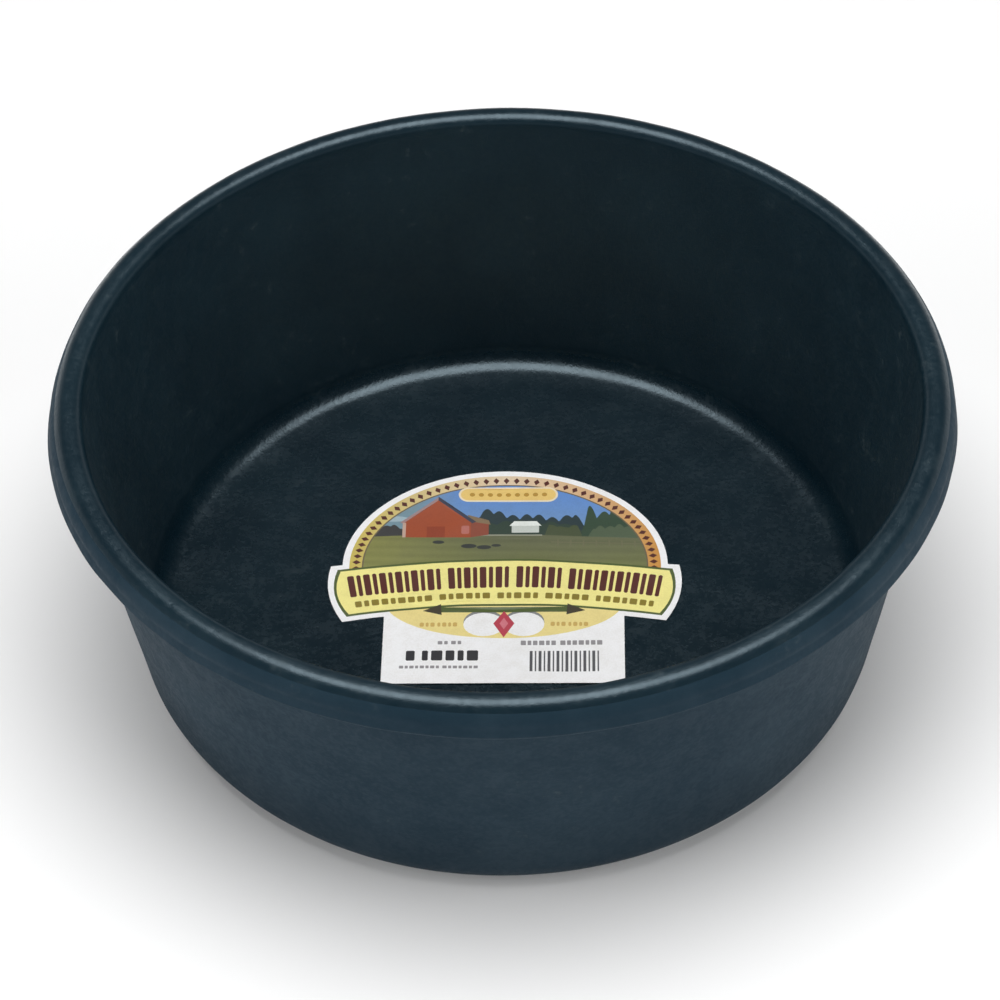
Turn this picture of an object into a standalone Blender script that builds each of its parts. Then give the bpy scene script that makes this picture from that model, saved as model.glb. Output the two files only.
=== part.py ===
"""Four-quart rubber feed pan with a die-cut paper label on its floor.

Frame: metres, +Z up, origin at the centre of the underside. The label reads from -Y.
"""

import math

import bpy

# Driving dimensions of the pan.
RIM_RADIUS = 0.1367
HEIGHT = 0.1024
LIP_OUTER_ROUND = 0.0064
LIP_INNER_ROUND = 0.0030
LIP_INNER_RADIUS = 0.1276
COLLAR_DEPTH = 0.0111
COLLAR_FLARE = 0.0016
COLLAR_EDGE_ROUND = 0.0016
COLLAR_ROOT_ROUND = 0.0025
WALL_RADIUS_TOP = 0.1304
WALL_RADIUS_BASE = 0.1159
BASE_ROUND = 0.0148
FLOOR_THICKNESS = 0.0065
FLOOR_WALL_RADIUS = 0.1137
FLOOR_ROUND = 0.0052

# Driving dimensions of the label, in its own plane. Its origin is the middle of the banner's upper edge.
LABEL_THICKNESS = 0.0003
LABEL_GAP = 0.0003
LABEL_ORIGIN = (-0.0003, 0.0197)
LABEL_TURN = math.radians(-2.0)
ARCH_HALF_WIDTH = 0.0530
ARCH_HEIGHT = 0.0440
BANNER_RADIUS = 0.3000
BANNER_HALF_ANGLE = math.radians(10.9)
BANNER_HEIGHT = 0.0250
BANNER_END_BULGE = 0.0026
TAB_HALF_WIDTH = 0.0386
TAB_DEPTH = 0.0296

# Facets.
STEPS_AROUND = 96
ARC_STEP = math.radians(18)
OUTLINE_STEPS = 12

# Materials: base colour, roughness.
RUBBER = ((0.016, 0.025, 0.030, 1.0), 0.55)
LABEL_PAPER = ((0.80, 0.72, 0.40, 1.0), 0.60)


def clear_scene():
    for obj in list(bpy.data.objects):
        bpy.data.objects.remove(obj)


def new_collection(name):
    collection = bpy.data.collections.new(name)
    bpy.context.scene.collection.children.link(collection)
    return collection


def new_material(name, finish):
    colour, roughness = finish
    material = bpy.data.materials.new(name)
    material.use_nodes = True
    shader = material.node_tree.nodes["Principled BSDF"]
    shader.inputs["Base Color"].default_value = colour
    shader.inputs["Roughness"].default_value = roughness
    shader.inputs["Metallic"].default_value = 0.0
    material.diffuse_color = colour
    return material


def fillet(before, corner, after, radius):
    """Points of the arc of this radius that rounds the corner of two straight runs."""
    ax, az = before[0] - corner[0], before[1] - corner[1]
    bx, bz = after[0] - corner[0], after[1] - corner[1]
    a_length = math.hypot(ax, az)
    b_length = math.hypot(bx, bz)
    ax, az, bx, bz = ax / a_length, az / a_length, bx / b_length, bz / b_length
    half = math.acos(max(-1.0, min(1.0, ax * bx + az * bz))) / 2
    reach = radius / math.tan(half)
    mx, mz = ax + bx, az + bz
    m_length = math.hypot(mx, mz)
    to_centre = radius / math.sin(half) / m_length
    cx, cz = corner[0] + mx * to_centre, corner[1] + mz * to_centre
    start = math.atan2(corner[1] + az * reach - cz, corner[0] + ax * reach - cx)
    end = math.atan2(corner[1] + bz * reach - cz, corner[0] + bx * reach - cx)
    sweep = (end - start + math.pi) % (2 * math.pi) - math.pi
    steps = max(2, math.ceil(abs(sweep) / ARC_STEP))
    angles = [start + sweep * i / steps for i in range(steps + 1)]
    return [(cx + radius * math.cos(t), cz + radius * math.sin(t)) for t in angles]


def rounded(corners):
    """The run through these (radius, height, rounding) corners, with each rounded corner as an arc."""
    run = []
    for i, (r, z, rounding) in enumerate(corners):
        if rounding:
            run += fillet(corners[i - 1][:2], (r, z), corners[i + 1][:2], rounding)
        else:
            run.append((r, z))
    return run


def pan_profile():
    """Half section of the pan, from the floor's centre over the lip to the underside's centre."""
    collar_bottom = HEIGHT - COLLAR_DEPTH
    collar_radius = RIM_RADIUS + COLLAR_FLARE
    return rounded(
        [
            (0.0, FLOOR_THICKNESS, 0),
            (FLOOR_WALL_RADIUS, FLOOR_THICKNESS, FLOOR_ROUND),
            (LIP_INNER_RADIUS, HEIGHT, LIP_INNER_ROUND),
            (RIM_RADIUS, HEIGHT, LIP_OUTER_ROUND),
            (collar_radius, collar_bottom, COLLAR_EDGE_ROUND),
            (WALL_RADIUS_TOP, collar_bottom, COLLAR_ROOT_ROUND),
            (WALL_RADIUS_BASE, 0.0, BASE_ROUND),
            (0.0, 0.0, 0),
        ]
    )


def make_pan(collection, material):
    mesh = bpy.data.meshes.new("rubber_pan")
    profile = [(r, 0.0, z) for r, z in pan_profile()]
    mesh.from_pydata(profile, [(i, i + 1) for i in range(len(profile) - 1)], [])
    mesh.materials.append(material)
    pan = bpy.data.objects.new("rubber_pan", mesh)
    collection.objects.link(pan)
    screw = pan.modifiers.new("turned", "SCREW")
    screw.axis = "Z"
    screw.steps = STEPS_AROUND
    screw.render_steps = STEPS_AROUND
    screw.use_merge_vertices = True
    screw.merge_threshold = 0.00001
    screw.use_smooth_shade = True
    return pan


def label_outline():
    """The die-cut edge, anticlockwise from the banner's lower right corner: banner, arch, banner, tab.

    The banner is a bent strip, the arch stands on its top edge, and the tab hangs from its lower one.
    """
    low, high = BANNER_RADIUS - BANNER_HEIGHT, BANNER_RADIUS

    def on_strip(radius, angle):
        return radius * math.sin(angle), radius * math.cos(angle) - BANNER_RADIUS

    def end(side):
        """One bulging end of the strip, from its lower to its upper corner."""
        points = []
        for i in range(OUTLINE_STEPS // 2 + 1):
            t = 2 * i / OUTLINE_STEPS
            bulge = BANNER_END_BULGE * 4 * t * (1 - t) / BANNER_RADIUS
            angle = side * (BANNER_HALF_ANGLE + bulge)
            points.append(on_strip(low + t * BANNER_HEIGHT, angle))
        return points

    foot_angle = math.asin(ARCH_HALF_WIDTH / high)
    foot_x, foot_y = on_strip(high, foot_angle)
    arch = []
    for i in range(2 * OUTLINE_STEPS + 1):
        t = math.pi * i / (2 * OUTLINE_STEPS)
        arch.append((foot_x * math.cos(t), foot_y + ARCH_HEIGHT * math.sin(t)))
    tab_angle = math.asin(TAB_HALF_WIDTH / low)
    tab_x, tab_y = on_strip(low, tab_angle)
    tab = [
        (-tab_x, tab_y),
        (-tab_x, tab_y - TAB_DEPTH),
        (tab_x, tab_y - TAB_DEPTH),
        (tab_x, tab_y),
    ]
    return end(1) + arch + end(-1)[::-1] + tab


def make_label(collection, material):
    curve = bpy.data.curves.new("floor_label", "CURVE")
    curve.dimensions = "2D"
    curve.fill_mode = "BOTH"
    curve.extrude = LABEL_THICKNESS / 2
    spline = curve.splines.new("POLY")
    outline = label_outline()
    spline.points.add(len(outline) - 1)
    for point, (x, y) in zip(spline.points, outline):
        point.co = (x, y, 0.0, 1.0)
    spline.use_cyclic_u = True
    curve.materials.append(material)
    label = bpy.data.objects.new("floor_label", curve)
    height = FLOOR_THICKNESS + LABEL_GAP + LABEL_THICKNESS / 2
    label.location = (*LABEL_ORIGIN, height)
    label.rotation_euler = (0.0, 0.0, LABEL_TURN)
    collection.objects.link(label)
    return label


clear_scene()
feed_pan = new_collection("feed_pan")
make_pan(feed_pan, new_material("black_rubber", RUBBER))
make_label(feed_pan, new_material("label_paper", LABEL_PAPER))
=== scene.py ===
"""Looks for the rubber feed pan: its moulded surface, its paper label, the studio and the camera."""

import math

import bpy
import numpy as np
from mathutils import Matrix, Vector
from mathutils.geometry import delaunay_2d_cdt


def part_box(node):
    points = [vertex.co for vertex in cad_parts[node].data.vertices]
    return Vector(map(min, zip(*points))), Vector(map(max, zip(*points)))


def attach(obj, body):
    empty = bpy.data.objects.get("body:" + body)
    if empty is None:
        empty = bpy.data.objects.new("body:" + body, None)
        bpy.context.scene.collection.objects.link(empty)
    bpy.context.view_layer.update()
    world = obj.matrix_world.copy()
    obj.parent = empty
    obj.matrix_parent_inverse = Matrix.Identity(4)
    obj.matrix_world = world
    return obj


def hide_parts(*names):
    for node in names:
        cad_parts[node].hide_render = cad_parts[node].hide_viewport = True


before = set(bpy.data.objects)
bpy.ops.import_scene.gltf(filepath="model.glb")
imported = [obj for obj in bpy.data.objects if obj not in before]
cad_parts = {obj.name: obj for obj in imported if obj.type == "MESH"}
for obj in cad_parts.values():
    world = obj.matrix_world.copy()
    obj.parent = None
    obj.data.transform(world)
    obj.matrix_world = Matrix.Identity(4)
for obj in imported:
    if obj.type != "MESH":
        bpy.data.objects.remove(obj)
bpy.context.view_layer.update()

MM = 0.001
BODY = "root"
PAN_NODE = "rubber_pan"
LABEL_NODE = "floor_label"

# ------------------------------------------------------------------ the pan's section, around the CAD boxes
PAN_LOW, PAN_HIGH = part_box(PAN_NODE)
LABEL_LOW, LABEL_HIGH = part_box(LABEL_NODE)
TOP = PAN_HIGH.z
WIDEST = (PAN_HIGH.x - PAN_LOW.x) / 2
CAD_LABEL_GAP = 0.3 * MM
FLOOR = LABEL_LOW.z - CAD_LABEL_GAP

# The lip: its flat crest runs from LIP_INNER to SHOULDER, then the brow falls away to the collar.
RIM = WIDEST - 1.35 * MM
SHOULDER = RIM - 3.2 * MM
SHOULDER_ROUND = 4.2 * MM
BROW_ROUND = 8.5 * MM
LIP_INNER_ROUND = 3.4 * MM
LIP_INNER = RIM - 8.8 * MM

# The collar hangs under the lip and is widest at its lower edge.
COLLAR_DEPTH = 11.1 * MM
COLLAR_FLARE = 1.6 * MM
COLLAR_EDGE_ROUND = 1.6 * MM
COLLAR_ROOT_ROUND = 2.5 * MM
GROOVE_HEIGHT = TOP - 6.9 * MM

# The outer wall, and the inner wall's foot with a shallow cove of the floor in front of it.
WALL_TOP = RIM - 6.3 * MM
WALL_BASE = RIM - 20.8 * MM
BASE_ROUND = 14.8 * MM
FLOOR_WALL = RIM - 23.0 * MM
FLOOR_ROUND = 8.0 * MM
COVE_FOOT = FLOOR_WALL - 9.7 * MM
COVE_SLOPE = math.tan(math.radians(6))
COVE_ROUND = 55 * MM

# Unevenness of the moulding.
BROAD_RELIEF = 0.09 * MM
MIDDLE_RELIEF = 0.05 * MM
FLOOR_RELIEF = 0.08 * MM
FLOOR_DISH = 0.25 * MM
FLOOR_RELIEF_TO = 25 * MM
BASE_KEPT_FLAT_TO = 12 * MM
RIDGE_HEIGHT = 0.28 * MM
RIDGE_WIDTH = 0.45 * MM
GROOVE_DEPTH = 0.30 * MM
GROOVE_WIDTH = 0.7 * MM
RIM_OVAL = 0.25 * MM
RIM_DIP = 0.15 * MM

# The surface is polished up to this tilt of the lip, and matt outside it.
MATT_FROM_TILT = math.sin(math.radians(48))

STEPS_AROUND = 480
RUN_SPACING = 3.4 * MM
FLAT_SPACING = 5.5 * MM
EDGE_SPACING = 0.75 * MM
ARC_SPACING = 0.62 * MM


def plane_waves(seed, count, shortest, longest):
    """Random plane waves whose sum is a smooth unevenness of about unit size."""
    rng = np.random.default_rng(seed)
    direction = rng.normal(size=(count, 3))
    direction /= np.linalg.norm(direction, axis=1)[:, None]
    wavelength = shortest * (longest / shortest) ** rng.random(count)
    phase = rng.random(count) * 2 * math.pi
    strength = math.sqrt(2 / count) * np.ones(count)
    return direction * (2 * math.pi / wavelength)[:, None], phase, strength


def unevenness(points, waves):
    numbers, phase, strength = waves
    return np.sin(points @ numbers.T + phase) @ strength


BROAD = plane_waves(11, 18, 70 * MM, 190 * MM)
MIDDLE = plane_waves(12, 26, 18 * MM, 60 * MM)


def floor_relief(x, y):
    """How far the pan's floor stands off its section: slightly dished and uneven."""
    points = np.stack([x, y, np.full_like(x, FLOOR)], axis=-1)
    reach = np.hypot(x, y) / FLOOR_WALL
    dish = -FLOOR_DISH * np.clip(1 - reach * reach, 0, 1)
    return FLOOR_RELIEF * unevenness(points, MIDDLE) + dish


def fillet(before, corner, after, radius):
    """Points of the arc of this radius that rounds the corner of two straight runs."""
    a = np.array(before) - corner
    b = np.array(after) - corner
    a /= np.linalg.norm(a)
    b /= np.linalg.norm(b)
    half = math.acos(np.clip(a @ b, -1, 1)) / 2
    centre = np.array(corner) + (a + b) / np.linalg.norm(a + b) * radius / math.sin(half)
    start = np.array(corner) + a * radius / math.tan(half) - centre
    end = np.array(corner) + b * radius / math.tan(half) - centre
    first = math.atan2(start[1], start[0])
    sweep = (math.atan2(end[1], end[0]) - first + math.pi) % (2 * math.pi) - math.pi
    steps = max(6, math.ceil(abs(sweep) * radius / ARC_SPACING))
    angles = first + sweep * np.arange(steps + 1) / steps
    return [centre + radius * np.array([math.cos(t), math.sin(t)]) for t in angles]


def section():
    """Half section of the pan, from the floor's centre over the lip to the underside's centre.

    Each corner is radius, height, rounding, and the spacing of points on the run that follows it.
    """
    under_collar = TOP - COLLAR_DEPTH
    brow_drop = (RIM - SHOULDER) / (1 - COLLAR_FLARE / COLLAR_DEPTH)
    corners = [
        (0.0, FLOOR, 0, FLAT_SPACING),
        (COVE_FOOT, FLOOR, COVE_ROUND, EDGE_SPACING),
        (FLOOR_WALL, FLOOR + (FLOOR_WALL - COVE_FOOT) * COVE_SLOPE, FLOOR_ROUND, RUN_SPACING),
        (LIP_INNER, TOP, LIP_INNER_ROUND, EDGE_SPACING),
        (SHOULDER, TOP, SHOULDER_ROUND, EDGE_SPACING),
        (SHOULDER + brow_drop, TOP - brow_drop, BROW_ROUND, EDGE_SPACING),
        (RIM + COLLAR_FLARE, under_collar, COLLAR_EDGE_ROUND, EDGE_SPACING),
        (WALL_TOP, under_collar, COLLAR_ROOT_ROUND, RUN_SPACING),
        (WALL_BASE, 0.0, BASE_ROUND, FLAT_SPACING),
        (0.0, 0.0, 0, FLAT_SPACING),
    ]
    run = []
    for i, (r, z, rounding, _) in enumerate(corners):
        if rounding:
            arc = fillet(corners[i - 1][:2], (r, z), corners[i + 1][:2], rounding)
        else:
            arc = [np.array([r, z])]
        if run:
            gap = arc[0] - run[-1]
            steps = max(1, math.ceil(np.linalg.norm(gap) / corners[i - 1][3]))
            start = run[-1]
            run += [start + gap * j / steps for j in range(1, steps)]
        run += arc
    return np.array(run)


def ring_mesh(name, points, steps):
    """A closed mesh from rings of points, each steps long, with a point at each end, its faces outward."""
    rings = len(points) // steps
    first, last = rings * steps, rings * steps + 1
    faces = []
    for i in range(rings - 1):
        low, high = i * steps, (i + 1) * steps
        for j in range(steps):
            k = (j + 1) % steps
            faces.append((low + j, high + j, high + k, low + k))
    for j in range(steps):
        k = (j + 1) % steps
        faces.append((first, j, k))
        faces.append((last, (rings - 1) * steps + k, (rings - 1) * steps + j))
    mesh = bpy.data.meshes.new(name)
    mesh.from_pydata(points.tolist(), [], faces)
    return mesh


def make_pan():
    """The pan as it comes from its mould: turned section, slightly oval and uneven, with a flash line."""
    run = section()
    steps = np.diff(run, axis=0)
    along = np.concatenate([[0], np.cumsum(np.linalg.norm(steps, axis=1))])
    tangent = np.gradient(run, along, axis=0)
    tangent /= np.linalg.norm(tangent, axis=1)[:, None]
    normal = np.stack([-tangent[:, 1], tangent[:, 0]], axis=1)
    inner = run[1:-1]
    normal = normal[1:-1]
    angle = 2 * math.pi * np.arange(STEPS_AROUND) / STEPS_AROUND
    radius, turn = np.meshgrid(inner[:, 0], angle, indexing="ij")
    height = np.meshgrid(inner[:, 1], angle, indexing="ij")[0]
    normal_r = np.meshgrid(normal[:, 0], angle, indexing="ij")[0]
    normal_z = np.meshgrid(normal[:, 1], angle, indexing="ij")[0]
    points = np.stack([radius * np.cos(turn), radius * np.sin(turn), height], axis=-1)
    outward = np.stack([normal_r * np.cos(turn), normal_r * np.sin(turn), normal_z], axis=-1)

    # Mould unevenness, along the surface's normal, and the floor's own relief.
    above_base = np.clip(height / BASE_KEPT_FLAT_TO, 0, 1)
    rough = BROAD_RELIEF * unevenness(points, BROAD) + MIDDLE_RELIEF * unevenness(points, MIDDLE)
    inside_wall = np.arange(len(inner))[:, None] < np.argmax(inner[:, 1])
    near_floor = inside_wall * np.clip(1 - (height - FLOOR) / FLOOR_RELIEF_TO, 0, 1)
    points += outward * (rough * (1 - near_floor) * above_base)[..., None]
    points[..., 2] += near_floor * floor_relief(points[..., 0], points[..., 1])

    # The mould's parting line: a flash ridge along the collar's edge and a shallow groove above it.
    past_lip = np.arange(len(inner))[:, None] > np.argmax(inner[:, 1])
    worn = np.clip(0.55 + 0.45 * unevenness(points, BROAD) + 0.25 * unevenness(points, MIDDLE), 0, 1)
    from_edge = (along[1:-1] - along[1 + int(np.argmax(inner[:, 0]))])[:, None]
    ridge = RIDGE_HEIGHT * np.exp(-(from_edge / RIDGE_WIDTH) ** 2) * worn
    on_collar = past_lip & (normal_r > 0.5) & (radius > WALL_TOP + 4 * MM)
    groove = GROOVE_DEPTH * np.exp(-((height - GROOVE_HEIGHT) / GROOVE_WIDTH) ** 2) * worn * on_collar
    points += outward * (ridge - groove)[..., None]

    # The rim is a little out of round and dips slightly between its high places.
    share = above_base * np.clip(height / TOP, 0, 1)
    oval = RIM_OVAL * np.cos(2 * turn + 0.7) * share
    dip = RIM_DIP * (np.cos(3 * turn + 1.1) - 1) * share
    points[..., 0] += oval * np.cos(turn)
    points[..., 1] += oval * np.sin(turn)
    points[..., 2] += dip

    ends = [
        [0, 0, FLOOR + float(floor_relief(np.zeros(1), np.zeros(1))[0])],
        [0, 0, 0],
    ]
    everything = np.concatenate([points.reshape(-1, 3), ends])
    mesh = ring_mesh("pan_shell", everything, STEPS_AROUND)
    mesh.shade_smooth()
    crest = int(np.argmax(inner[:, 1]))
    shoulder = crest + int(np.argmax(normal[crest:, 0] > MATT_FROM_TILT))
    rings = np.arange(len(inner) - 1) >= shoulder
    matt = np.concatenate([np.repeat(rings, STEPS_AROUND), np.tile([False, True], STEPS_AROUND)])
    mesh.polygons.foreach_set("material_index", matt.astype(np.int32))
    pan = bpy.data.objects.new("pan_shell", mesh)
    bpy.context.scene.collection.objects.link(pan)
    return pan


# ------------------------------------------------------------------ materials
def new_material(name):
    material = bpy.data.materials.new(name)
    material.use_nodes = True
    return material, material.node_tree.nodes["Principled BSDF"]


def add(material, kind, inputs=(), **settings):
    """A new node with these settings, its inputs given as (socket, value or output)."""
    node = material.node_tree.nodes.new(kind)
    for name, value in settings.items():
        setattr(node, name, value)
    for socket, value in inputs:
        if isinstance(value, bpy.types.NodeSocket):
            material.node_tree.links.new(value, node.inputs[socket])
        else:
            node.inputs[socket].default_value = value
    return node


def noise(material, where, scale, detail=3.0, roughness=0.55):
    node = add(material, "ShaderNodeTexNoise", [
        ("Vector", where), ("Scale", scale), ("Detail", detail), ("Roughness", roughness)])
    return node.outputs["Fac"]


def ramp(material, value, low, high, to_low=0.0, to_high=1.0):
    """A smooth step from to_low at low to to_high at high."""
    node = add(material, "ShaderNodeMapRange", [
        ("Value", value), ("From Min", low), ("From Max", high), ("To Min", to_low), ("To Max", to_high)],
        interpolation_type="SMOOTHSTEP")
    return node.outputs["Result"]


def math_node(material, operation, a, b):
    return add(material, "ShaderNodeMath", [(0, a), (1, b)], operation=operation).outputs[0]


def blend_colours(material, factor, a, b):
    node = add(material, "ShaderNodeMix", [("Factor", factor), (6, a), (7, b)], data_type="RGBA")
    return node.outputs[2]


def link(material, output, socket):
    material.node_tree.links.new(output, socket)


LIP_POLISH = 0.75
FLOOR_DARKENING = 0.3
# Painted shade: the largest share by which the matt rubber is darkened towards its foot.
FOOT_PAINTED_SHADE = 0.18


def polish_by_height(material, height):
    """How much the pan is rubbed smooth, the floor most and the wall not at all, and the floor's share."""
    lip = ramp(material, height, TOP - 6 * MM, TOP - 1.5 * MM, 0.0, LIP_POLISH)
    floor = ramp(material, height, FLOOR + 9 * MM, FLOOR + 4 * MM)
    return math_node(material, "ADD", lip, floor), floor


def rubber_material(name, dark, light, scuff, specular, tint, smoothest, roughest, polished=None):
    """Black crumb rubber: a blue-black ground, grey bloom and scuffs, pitted and slightly glossy.

    The roughness lies between smoothest and roughest, and is polished's pair where hands and feed rub it.
    A polished floor is darker. Rubber that isn't polished gets painted shade: it is darkened towards the
    ground.
    """
    material, shader = new_material(name)
    where = add(material, "ShaderNodeTexCoord").outputs["Object"]
    height = add(material, "ShaderNodeSeparateXYZ", [("Vector", where)]).outputs["Z"]
    cloudy = noise(material, where, 28.0, 5.0, 0.6)
    mottled = noise(material, where, 150.0, 4.0, 0.65)
    crumbs = noise(material, where, 620.0, 3.0, 0.6)
    grain = noise(material, where, 2400.0, 2.0, 0.5)
    ground = blend_colours(material, ramp(material, cloudy, 0.35, 0.68), dark, light)
    in_patches = math_node(
        material, "MULTIPLY", ramp(material, mottled, 0.56, 0.74), ramp(material, cloudy, 0.40, 0.60))
    scuffs = math_node(material, "MULTIPLY", in_patches, ramp(material, crumbs, 0.35, 0.75))
    colour = blend_colours(material, scuffs, ground, scuff)
    uneven = math_node(material, "ADD", mottled, crumbs)
    roughness = ramp(material, uneven, 0.75, 1.25, smoothest, roughest)
    if polished:
        polish, on_floor = polish_by_height(material, height)
        rubbed = ramp(material, uneven, 0.75, 1.25, *polished)
        mixed = add(material, "ShaderNodeMix", [("Factor", polish), (2, roughness), (3, rubbed)])
        roughness = mixed.outputs[0]
        darker = math_node(material, "MULTIPLY", on_floor, FLOOR_DARKENING)
    else:
        # Painted shade: unpolished rubber is darkened towards the ground, below 44 mm.
        darker = ramp(material, height, 44 * MM, 10 * MM, 0.0, FOOT_PAINTED_SHADE)
    colour = blend_colours(material, darker, colour, (0, 0, 0, 1))
    link(material, colour, shader.inputs["Base Color"])
    link(material, roughness, shader.inputs["Roughness"])
    shader.inputs["Specular IOR Level"].default_value = specular
    shader.inputs["Specular Tint"].default_value = tint
    relief = math_node(material, "ADD", math_node(material, "MULTIPLY", mottled, 0.5), crumbs)
    coarse = add(material, "ShaderNodeBump", [("Height", relief), ("Distance", 0.00022), ("Strength", 0.40)])
    fine = add(material, "ShaderNodeBump", [
        ("Height", grain), ("Distance", 0.00006), ("Strength", 0.5), ("Normal", coarse.outputs[0])])
    link(material, fine.outputs[0], shader.inputs["Normal"])
    return material


# ------------------------------------------------------------------ the label
# Its drawing is in millimetres, from the middle of the banner's upper edge, before it is turned and placed.
LABEL_THICKNESS = 0.16
LABEL_GAP = 0.05
ARCH_HALF_WIDTH = 53.0
ARCH_HEIGHT = 44.0
BANNER_RADIUS = 300.0
BANNER_HALF_ANGLE = math.radians(10.9)
BANNER_HEIGHT = 25.0
BANNER_END_BULGE = 2.6
TAB_HALF_WIDTH = 38.6
TAB_DEPTH = 29.6
LABEL_TURN = math.radians(-2.0)
GRID = 1.3
BEADS = 47
WINDOW_INSET = 6.8

PAPER = (0.93, 0.93, 0.94)
YELLOW = (0.93, 0.85, 0.31)
GREEN = (0.085, 0.12, 0.035)
BROWN = (0.10, 0.028, 0.022)
OLIVE = (0.26, 0.20, 0.03)
INK = (0.035, 0.035, 0.04)


def strip(u, v):
    """A point on the bent banner: u along its upper edge from the middle, v up from that edge."""
    angle = u / BANNER_RADIUS
    reach = BANNER_RADIUS + v
    return reach * math.sin(angle), reach * math.cos(angle) - BANNER_RADIUS


def arc_points(cx, cy, rx, ry, start, end, count):
    turns = [math.radians(start + (end - start) * i / count) for i in range(count + 1)]
    return [(cx + rx * math.cos(t), cy + ry * math.sin(t)) for t in turns]


def disc(cx, cy, rx, ry, count=20):
    return arc_points(cx, cy, rx, ry, 0, 360, count)[:-1]


def banner_outline(inset):
    """The bent banner with its bulging ends, drawn in from the paper's edge by inset."""
    half = BANNER_HALF_ANGLE * BANNER_RADIUS - inset
    steps = 28
    top = [strip(half - 2 * half * i / steps, -inset) for i in range(steps + 1)]
    low = BANNER_HEIGHT - inset
    left, right = [], []
    for i in range(1, 8):
        t = i / 8
        bulge = BANNER_END_BULGE * 4 * t * (1 - t)
        v = -inset - t * (low - inset)
        left.append(strip(-half - bulge, v))
        right.append(strip(half + bulge, v))
    bottom = [strip(-half + 2 * half * i / steps, -low) for i in range(steps + 1)]
    return top + left + bottom + right[::-1]


def arch_outline(inset):
    """The arch over the banner, drawn in from the paper's edge by inset."""
    foot_x, foot_y = strip(math.asin(ARCH_HALF_WIDTH / BANNER_RADIUS) * BANNER_RADIUS, 0)
    arch = arc_points(0, foot_y, foot_x - inset, ARCH_HEIGHT - inset, 0, 180, 64)
    hidden_foot = foot_y - 3
    return arch + [(-foot_x + inset, hidden_foot), (foot_x - inset, hidden_foot)]


def tab_outline():
    turn = math.asin(TAB_HALF_WIDTH / (BANNER_RADIUS - BANNER_HEIGHT))
    tab_x, tab_y = strip(turn * BANNER_RADIUS, -BANNER_HEIGHT)
    return [(tab_x, tab_y + 6), (-tab_x, tab_y + 6), (-tab_x, tab_y - TAB_DEPTH), (tab_x, tab_y - TAB_DEPTH)]


def block(u0, u1, v0, v1, place=strip, cut=0.4):
    """A small bar with cut corners, laid along the banner or flat."""
    corners = [(u0 + cut, v0), (u1 - cut, v0), (u1, v0 + cut), (u1, v1 - cut),
               (u1 - cut, v1), (u0 + cut, v1), (u0, v1 - cut), (u0, v0 + cut)]
    return [place(u, v) for u, v in corners]


def flat(x, y):
    return x, y


def row(start, end, v0, v1, widths, gap, groups, space, colour, place=strip, cut=0.4):
    """Plain bars in groups that fill the run from start to end."""
    found = []
    u = 0.0
    for size in groups:
        for _ in range(size):
            width = widths[len(found) % len(widths)]
            found.append((u, u + width))
            u += width + gap
        u += space - gap
    scale = (end - start) / (u - space)
    return [(block(start + a * scale, start + b * scale, v0, v1, place, cut), colour) for a, b in found]


def border_colour(x, y):
    """The beaded border turns from yellow on the left over cream to orange on the right."""
    t = np.clip((x + 50) / 100, 0, 1)[:, None]
    left, middle, right = np.array([(0.62, 0.50, 0.12), (0.78, 0.62, 0.44), (0.62, 0.30, 0.07)])
    return np.where(t < 0.5, left + (middle - left) * 2 * t, middle + (right - middle) * (2 * t - 1))


def sky_colour(x, y):
    t = np.clip((y - 8) / 22, 0, 1)[:, None]
    haze = np.clip((-x - 14) / 16, 0, 1)[:, None]
    low, high, hazy = np.array([(0.19, 0.32, 0.52), (0.12, 0.27, 0.64), (0.19, 0.30, 0.36)])
    return (low + (high - low) * t) * (1 - haze) + hazy * haze


def field_colour(x, y):
    t = np.clip((y + 4) / 12, 0, 1)[:, None]
    left = np.clip((-x - 5) / 40, 0, 1)[:, None]
    low, high, sunlit = np.array([(0.184, 0.201, 0.081), (0.144, 0.155, 0.086), (0.260, 0.266, 0.085)])
    wave = 0.92 + 0.08 * np.sin(1.7 * y + 0.05 * x)[:, None]
    return ((low + (high - low) * t) * (1 - left) + sunlit * left) * wave


def hill(x0, x1, base, top, lumps, seed):
    """A run of bushes or trees: a lumpy top edge on a straight foot."""
    rng = np.random.default_rng(seed)
    steps = 10 * lumps
    phases = rng.random(3) * 6
    points = []
    for i in range(steps + 1):
        t = i / steps
        lump = abs(math.sin(math.pi * lumps * t + phases[0])) * 0.22
        sway = 0.13 * math.sin(5 * t + phases[1]) + 0.07 * math.sin(17 * t + phases[2])
        swell = min(1.0, 7 * t + 0.25, 7 * (1 - t) + 0.25)
        points.append((x0 + (x1 - x0) * t, base + (top - base) * swell * (0.78 + lump + sway)))
    return points + [(x1, base - 1.5), (x0, base - 1.5)]


def border_shapes():
    """A beaded band inside the paper's white edge, with a dark line round the picture."""
    shapes = [(banner_outline(0), PAPER), (arch_outline(2.2), border_colour)]
    foot_y = strip(ARCH_HALF_WIDTH, 0)[1]
    for i in range(BEADS):
        turn = math.radians(-2 + 184 * i / (BEADS - 1))
        out_x, out_y = math.cos(turn), math.sin(turn)
        x, y = 48.6 * out_x, foot_y + 39.6 * out_y
        shapes.append(([(x + 1.3 * out_x, y + 1.3 * out_y), (x - 1.0 * out_y, y + 1.0 * out_x),
                        (x - 1.5 * out_x, y - 1.5 * out_y), (x + 1.0 * out_y, y - 1.0 * out_x)], BROWN))
    return shapes + [(arch_outline(WINDOW_INSET - 0.5), (0.16, 0.13, 0.08))]


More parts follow.
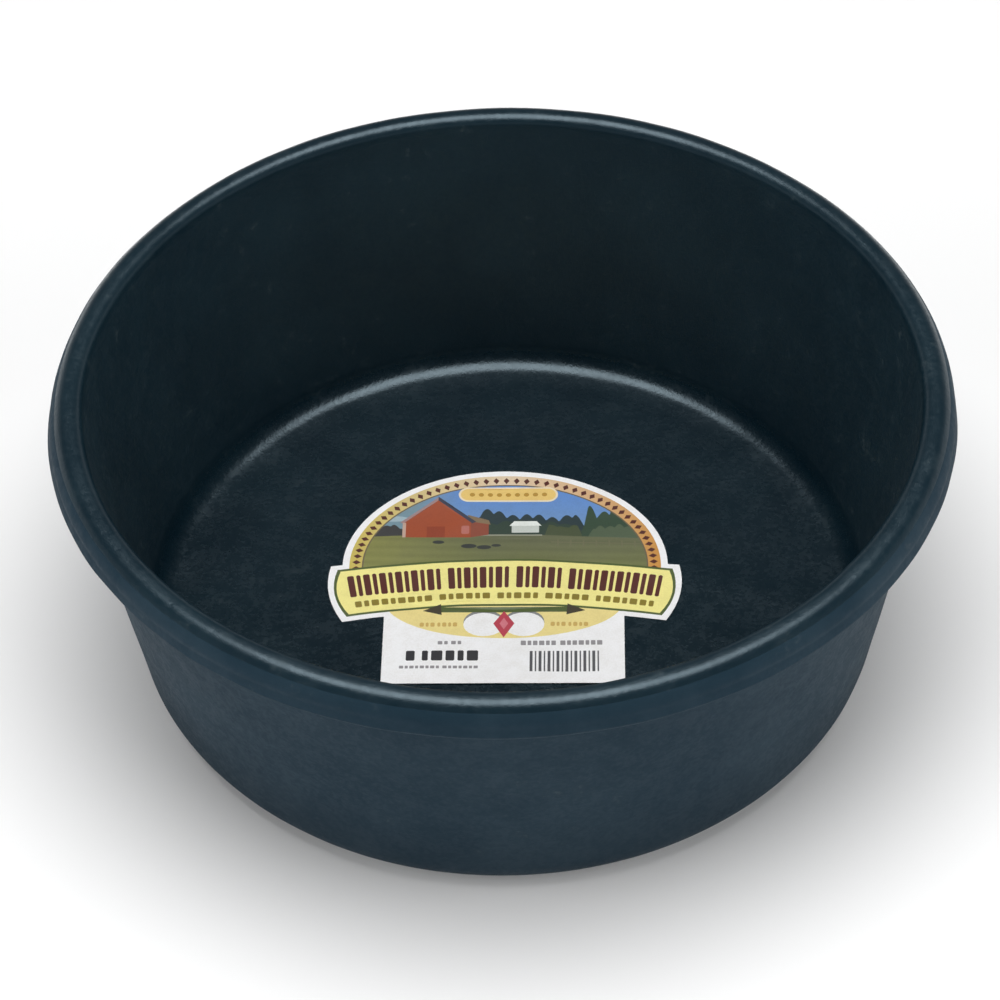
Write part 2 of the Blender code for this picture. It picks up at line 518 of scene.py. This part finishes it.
def picture_shapes():
    """A plain pasture: sky, a tree line, bushes, a shed, a barn, a few animals and a fence."""
    sky = [(arch_outline(WINDOW_INSET), sky_colour), (disc(-9, 28.5, 7, 1.5), (0.40, 0.50, 0.70)),
           (disc(-37, 17, 5, 1.3), (0.36, 0.48, 0.54))]
    trees = [(hill(-12, 27, 9, 19.5, 9, 3), (0.030, 0.050, 0.055)),
             (hill(-10, 26, 9, 15.0, 7, 8), (0.038, 0.062, 0.046)),
             (hill(25, 46, 7, 23.0, 5, 4), (0.042, 0.075, 0.046)),
             (hill(-46, -33, 8, 13.5, 4, 5), (0.055, 0.055, 0.055)),
             (hill(13, 25, 8, 14.0, 3, 6), (0.070, 0.090, 0.045)),
             (hill(27, 46, 7, 13.0, 6, 7), (0.090, 0.125, 0.075))]
    field = [([(-46, 8.6), (-20, 9.6), (10, 9.2), (46, 7.4), (47, -8), (-47, -8)], field_colour),
             ([(-8, 9.5), (12, 9.3), (12, 8.7), (-8, 8.9)], (0.30, 0.31, 0.24))]
    shed = [(block(2, 11, 10.2, 13.5, flat, 0.1), (0.58, 0.62, 0.58)),
            ([(1.2, 13.4), (11.8, 13.4), (10.2, 15.6), (2.8, 15.6)], (0.80, 0.84, 0.80))]
    barn = [([(-11.6, 8.2), (-5.6, 9.4), (-5.6, 14.6), (-11.6, 16.4)], (0.27, 0.075, 0.045)),
            ([(-12.0, 15.6), (-5.0, 14.0), (-5.6, 16.0), (-12.6, 18.6)], (0.24, 0.17, 0.10)),
            ([(-33.5, 8.2), (-11.5, 8.2), (-11.5, 16.5), (-22.5, 26.0), (-33.5, 16.5)], (0.36, 0.082, 0.036)),
            ([(-34.9, 15.4), (-22.5, 27.0), (-22.5, 25.6), (-34.0, 14.8)], (0.36, 0.24, 0.24)),
            ([(-22.5, 27.3), (-9.8, 15.4), (-11.0, 14.6), (-22.5, 25.6)], (0.055, 0.060, 0.090)),
            (block(-34.0, -32.9, 8.2, 15.2, flat, 0.05), (0.55, 0.38, 0.31)),
            (block(-14.6, -12.0, 9.8, 13.6, flat, 0.4), (0.48, 0.17, 0.14)),
            (block(-26.0, -20.0, 8.2, 13.4, flat, 0.05), (0.29, 0.060, 0.030))]
    animals = [(disc(x, y, size, size * 0.4, 14), (0.045, 0.050, 0.045))
               for x, y, size in ((-12, 4.2, 2.6), (-7, 3.6, 2.4), (-3, 4.4, 1.6), (-22, 6.0, 2.0))]
    wood = (0.16, 0.16, 0.09)
    fence = [([(15, 6.1), (44, 5.1), (44, 4.7), (15, 5.7)], wood)]
    for k in range(7):
        post = 17 + 4.2 * k
        drop = 0.12 * k
        fence.append((block(post, post + 0.5, 4.0 - drop, 7.0 - drop, flat, 0.05), wood))
    return sky + trees + field + shed + barn + animals + fence


def capsule_shapes():
    """A blank name plate over the sky, with a row of dots."""
    shapes = []
    middle = 28.2
    for reach, colour in ((3.4, (0.84, 0.72, 0.52)), (2.7, (0.82, 0.58, 0.19))):
        left = arc_points(-12.4, middle, reach, reach, 90, 270, 12)
        shapes.append((left + arc_points(13.8, middle, reach, reach, -90, 90, 12), colour))
    return shapes + [(disc(-11.3 + 3.0 * k, middle, 0.9, 0.9, 12), (0.48, 0.28, 0.05)) for k in range(9)]


def banner_shapes():
    """The banner with plain bars in groups, a double arrow and a ribbon below it."""
    ribbon = arc_points(0, -21.0, 38.5, 16.5, 180, 360, 40) + [(38.5, -18), (-38.5, -18)]
    shapes = [(ribbon, (0.86, 0.72, 0.29))]
    shapes += [(disc(x, -30.4, 6.6, 5.4, 24), (0.24, 0.25, 0.25)) for x in (-6.4, 6.4)]
    shapes += [(disc(x, -31.4, 6.6, 5.2, 24), PAPER) for x in (-6.4, 6.4)]
    for start in (-27, 15):
        shapes += row(start, start + 12, -32.2, -30.4, (1.6, 1.1), 0.7, (3, 4), 1.1,
                      (0.62, 0.42, 0.12), flat, 0.3)
    shapes += [(banner_outline(1.9), GREEN), (banner_outline(2.8), YELLOW)]
    shapes += row(-52.6, 52.6, -14.9, -5.3, (2.1, 1.3), 0.8, (12, 8, 6, 12), 2.4, BROWN)
    shapes += row(-51.5, 51.5, -19.7, -17.1, (1.8, 1.3, 2.0), 0.7, (9, 6, 5, 5, 7), 2.0, OLIVE, cut=0.3)
    shapes.append((block(-23, 23, -25.2, -23.0, strip, 0.1), GREEN))
    for side in (-1, 1):
        tip = [strip(side * 22, -21.6), strip(side * 28.5, -24.0), strip(side * 22, -26.4)]
        shapes.append((tip, (0.06, 0.05, 0.03)))
    return shapes + [([(0, -25.4), (3.4, -31.0), (0, -37.2), (-3.4, -31.0)], (0.50, 0.06, 0.09)),
                     ([(0, -28.4), (1.4, -31.0), (0, -33.6), (-1.4, -31.0)], (0.66, 0.20, 0.24))]


def tab_shapes():
    """The tab's plain blocks and stripes."""
    grey = (0.30, 0.29, 0.30)
    shapes = row(-21, -13.5, -40.1, -38.6, (1.2, 0.9), 0.5, (2, 2), 0.9, grey, flat, 0.15)
    shapes += row(-31, -8, -47.2, -42.8, (2.2, 1.5, 2.8), 0.8, (1, 5), 1.8, INK, flat, 0.35)
    shapes += row(-33, -8, -50.6, -49.4, (1.1, 0.8), 0.4, (8, 7), 0.9, grey, flat, 0.1)
    shapes += row(5.5, 31.5, -40.6, -38.6, (1.4, 1.0, 1.2), 0.45, (6, 7), 1.2, grey, flat, 0.15)
    shapes += row(8.4, 30.4, -52.2, -43.2, (0.9, 0.45), 0.7, (16,), 0.7, (0.10, 0.10, 0.11), flat, 0.05)
    return shapes


def inside(points, outline):
    """Which of these points lie within the outline."""
    found = np.zeros(len(points), bool)
    low, high = np.min(outline, axis=0), np.max(outline, axis=0)
    near = np.nonzero(np.all((points >= low) & (points <= high), axis=1))[0]
    x, y = points[near, 0], points[near, 1]
    odd = np.zeros(len(near), bool)
    for (ax, ay), (bx, by) in zip(outline, outline[1:] + outline[:1]):
        if ay != by:
            crosses = (ay > y) != (by > y)
            odd ^= crosses & (x < ax + (y - ay) * (bx - ax) / (by - ay))
    found[near] = odd
    return found


def make_label():
    """The die-cut paper label, cut into small faces along every printed shape, lying on the uneven floor."""
    edge = [arch_outline(0), banner_outline(0), tab_outline()]
    window = arch_outline(WINDOW_INSET)
    layers = [(shape, None) for shape in border_shapes()]
    layers += [(shape, window) for shape in picture_shapes()]
    layers += [(shape, None) for shape in capsule_shapes() + banner_shapes() + tab_shapes()]
    outlines = edge + [outline for (outline, _), _ in layers]
    points, edges = [], []
    for outline in outlines:
        first = len(points)
        count = len(outline)
        points += [Vector(p) for p in outline]
        edges += [(first + i, first + (i + 1) % count) for i in range(count)]
    xs = np.arange(-60, 60, GRID)
    ys = np.arange(-60, 42, GRID)
    grid = np.stack(np.meshgrid(xs, ys), axis=-1).reshape(-1, 2)
    grid = grid + np.random.default_rng(5).uniform(-0.15, 0.15, grid.shape)
    keep = np.any([inside(grid, outline) for outline in edge], axis=0)
    points += [Vector(p) for p in grid[keep]]
    found = delaunay_2d_cdt(points, edges, [], 0, 1e-4, False)
    flat_points = np.array([tuple(p) for p in found[0]])
    faces = np.array([f for f in found[2] if len(f) == 3])
    centres = flat_points[faces].mean(axis=1)
    keep = np.any([inside(centres, outline) for outline in edge], axis=0)
    faces, centres = faces[keep], centres[keep]
    colours = np.tile(np.array(PAPER), (len(faces) * 3, 1))
    corners = flat_points[faces].reshape(-1, 2)
    for (outline, colour), frame_outline in layers:
        shown = inside(centres, outline)
        if frame_outline:
            shown &= inside(centres, frame_outline)
        covered = np.repeat(shown, 3)
        if callable(colour):
            colours[covered] = colour(corners[covered, 0], corners[covered, 1])
        else:
            colours[covered] = colour
    used, faces = np.unique(faces, return_inverse=True)
    faces = faces.reshape(-1, 3)
    flat_points = flat_points[used]

    # Place it: the outline's box goes where the CAD label's box is.
    across = (math.cos(LABEL_TURN), -math.sin(LABEL_TURN))
    along = (math.sin(LABEL_TURN), math.cos(LABEL_TURN))
    placed = flat_points @ np.array([across, along]).T
    centre = np.array([(LABEL_LOW.x + LABEL_HIGH.x) / 2, (LABEL_LOW.y + LABEL_HIGH.y) / 2])
    placed = placed * MM + centre - (placed.max(axis=0) + placed.min(axis=0)) / 2 * MM
    height = FLOOR + floor_relief(placed[:, 0], placed[:, 1]) + label_lift(flat_points)
    top = np.column_stack([placed, height + (LABEL_GAP + LABEL_THICKNESS) * MM])
    bottom = np.column_stack([placed, height + LABEL_GAP * MM])
    count = len(placed)
    halves = np.concatenate([faces[:, [0, 1]], faces[:, [1, 2]], faces[:, [2, 0]]])
    taken = {tuple(e) for e in halves.tolist()}
    rim = [e for e in halves.tolist() if (e[1], e[0]) not in taken]
    sides = [(b, a, a + count, b + count) for a, b in rim]
    every = faces.tolist() + (faces[:, ::-1] + count).tolist() + sides
    mesh = bpy.data.meshes.new("label_sheet")
    mesh.from_pydata(np.concatenate([top, bottom]).tolist(), [], every)
    loops = np.tile(np.array([*PAPER, 1.0]), (len(mesh.loops), 1))
    loops[:len(colours), :3] = colours
    ink = mesh.color_attributes.new("print", "FLOAT_COLOR", "CORNER")
    ink.data.foreach_set("color", loops.astype(np.float32).ravel())
    label = bpy.data.objects.new("label_sheet", mesh)
    bpy.context.scene.collection.objects.link(label)
    return label


def label_lift(points):
    """How far the label stands off the floor: slight ripples, and edges that have come up a little."""
    x, y = points[:, 0], points[:, 1]
    ripple = 0.05 * (1 + np.sin(0.21 * x + 0.13 * y + 1.0)) + 0.04 * (1 + np.sin(0.33 * y - 0.17 * x))
    tab_edge = np.clip((-y - 48) / 9, 0, 1) ** 2 * (0.25 + 0.15 * np.sin(0.16 * x + 2.4))
    ends = np.clip((np.abs(x) - 48) / 10, 0, 1) ** 2 * np.where(x < 0, 0.35, 0.55)
    return (ripple + tab_edge + ends) * MM


def label_material():
    """Printed, lightly varnished paper: the ink is a little uneven over fine fibres."""
    material, shader = new_material("label_paper_printed")
    where = add(material, "ShaderNodeTexCoord").outputs["Object"]
    ink = add(material, "ShaderNodeAttribute", attribute_name="print").outputs["Color"]
    fibres = noise(material, where, 1800.0, 3.0, 0.6)
    blotches = noise(material, where, 160.0, 3.0, 0.6)
    darker = add(material, "ShaderNodeMix", [(6, ink), (7, (0.90, 0.89, 0.87, 1))],
                 data_type="RGBA", blend_type="MULTIPLY")
    uneven = ramp(material, math_node(material, "ADD", fibres, blotches), 0.75, 1.35)
    link(material, uneven, darker.inputs["Factor"])
    link(material, darker.outputs[2], shader.inputs["Base Color"])
    link(material, ramp(material, blotches, 0.3, 0.7, 0.34, 0.46), shader.inputs["Roughness"])
    bump = add(material, "ShaderNodeBump", [("Height", fibres), ("Distance", 0.00003), ("Strength", 0.4)])
    link(material, bump.outputs[0], shader.inputs["Normal"])
    shader.inputs["IOR"].default_value = 1.46
    return material


# ------------------------------------------------------------------ the pieces
pan = make_pan()
pan.data.materials.append(rubber_material(
    "black_rubber_smooth",
    dark=(0.0028, 0.0115, 0.0185, 1), light=(0.0050, 0.0160, 0.0240, 1), scuff=(0.030, 0.044, 0.050, 1),
    specular=0.78, tint=(0.70, 0.89, 1.0, 1), smoothest=0.48, roughest=0.60, polished=(0.22, 0.31)))
pan.data.materials.append(rubber_material(
    "black_rubber_matt",
    dark=(0.0095, 0.0224, 0.0331, 1), light=(0.0163, 0.0315, 0.0436, 1), scuff=(0.048, 0.063, 0.072, 1),
    specular=0.26, tint=(0.35, 0.66, 1.0, 1), smoothest=0.60, roughest=0.74))
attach(pan, BODY)
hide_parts(PAN_NODE)

label = make_label()
label.data.materials.append(label_material())
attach(label, BODY)
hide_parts(LABEL_NODE)

# ------------------------------------------------------------------ floor, light and camera
STAGE_SIZE = 9.0
STAGE_DROP = 0.2 * MM
stage_mesh = bpy.data.meshes.new("studio_floor")
half = STAGE_SIZE / 2
stage_corners = [(-half, -half, 0), (half, -half, 0), (half, half, 0), (-half, half, 0)]
stage_mesh.from_pydata(stage_corners, [], [(0, 1, 2, 3)])
stage = bpy.data.objects.new("studio_floor", stage_mesh)
bpy.context.scene.collection.objects.link(stage)
stage_material, stage_shader = new_material("pale_floor")
stage_shader.inputs["Base Color"].default_value = (0.90, 0.90, 0.90, 1)
stage_shader.inputs["Roughness"].default_value = 0.9
stage_shader.inputs["Specular IOR Level"].default_value = 0.1
stage_mesh.materials.append(stage_material)
stage.location.z = -STAGE_DROP


def area_light(name, place, target, width, height, radiance, highlights=True):
    """An oval soft light. A fill light gives no highlights of its own."""
    light = bpy.data.lights.new(name, "AREA")
    light.shape = "ELLIPSE"
    light.size = width
    light.size_y = height
    light.energy = radiance * math.pi * math.pi / 4 * width * height
    holder = bpy.data.objects.new(name, light)
    bpy.context.scene.collection.objects.link(holder)
    holder.location = place
    holder.rotation_euler = (Vector(target) - Vector(place)).to_track_quat("-Z", "Y").to_euler()
    holder.visible_camera = False
    holder.visible_glossy = highlights


RIM_CENTRE = Vector((0, 0, TOP))
SOFTBOX_PLACE = Vector((0, 0.03, 1.5))
SOFTBOX_SIZE = (1.66, 1.4)
SOFTBOX_RADIANCE = 4.6
area_light("overhead_softbox", RIM_CENTRE + SOFTBOX_PLACE, RIM_CENTRE, *SOFTBOX_SIZE, SOFTBOX_RADIANCE)
FILL_SIZE = (2.2, 1.3)
FILL_RADIANCE = 3.1
for name, sideways in (("left_fill", -1.75), ("right_fill", 1.75)):
    fill_place = RIM_CENTRE + Vector((sideways, -0.8, 0.75))
    area_light(name, fill_place, RIM_CENTRE, *FILL_SIZE, FILL_RADIANCE, highlights=False)

# The surroundings: a light grey band round the horizon, dim above it. Heights are sines of elevation.
SKY_LOW = 0.45
SKY_HIGH = 0.04
SKY_BRIGHT_TO = 0.04
SKY_DARK_FROM = 0.42

world = bpy.data.worlds.new("studio")
bpy.context.scene.world = world
world.use_nodes = True
background = world.node_tree.nodes["Background"]
background.inputs["Color"].default_value = (1, 1, 1, 1)
sky_where = add(world, "ShaderNodeTexCoord").outputs["Generated"]
sky_height = add(world, "ShaderNodeSeparateXYZ", [("Vector", sky_where)]).outputs["Z"]
sky_strength = ramp(world, sky_height, SKY_BRIGHT_TO, SKY_DARK_FROM, SKY_LOW, SKY_HIGH)
link(world, sky_strength, background.inputs["Strength"])
bpy.context.scene.view_settings.view_transform = "Standard"

# The camera looks at AIM from in front and above, turned a little about its own axis.
CAMERA_DISTANCE = 1.0993
CAMERA_ELEVATION = math.radians(44.197)
CAMERA_ROLL = math.radians(-1.656)
AIM = Vector((-0.00148, 0, 0.05079))
LENS = 126.0

forward = Vector((0, math.cos(CAMERA_ELEVATION), -math.sin(CAMERA_ELEVATION)))
right = Vector((1, 0, 0))
up = right.cross(forward)
rolled_right = right * math.cos(CAMERA_ROLL) + up * math.sin(CAMERA_ROLL)
rolled_up = -right * math.sin(CAMERA_ROLL) + up * math.cos(CAMERA_ROLL)
camera = bpy.data.objects.new("camera", bpy.data.cameras.new("camera"))
bpy.context.scene.collection.objects.link(camera)
orientation = Matrix((rolled_right, rolled_up, -forward)).transposed()
camera.matrix_world = Matrix.Translation(AIM - forward * CAMERA_DISTANCE) @ orientation.to_4x4()
camera.data.sensor_width = 36.0
camera.data.lens = LENS
bpy.context.scene.camera = camera

bpy.context.view_layer.update()
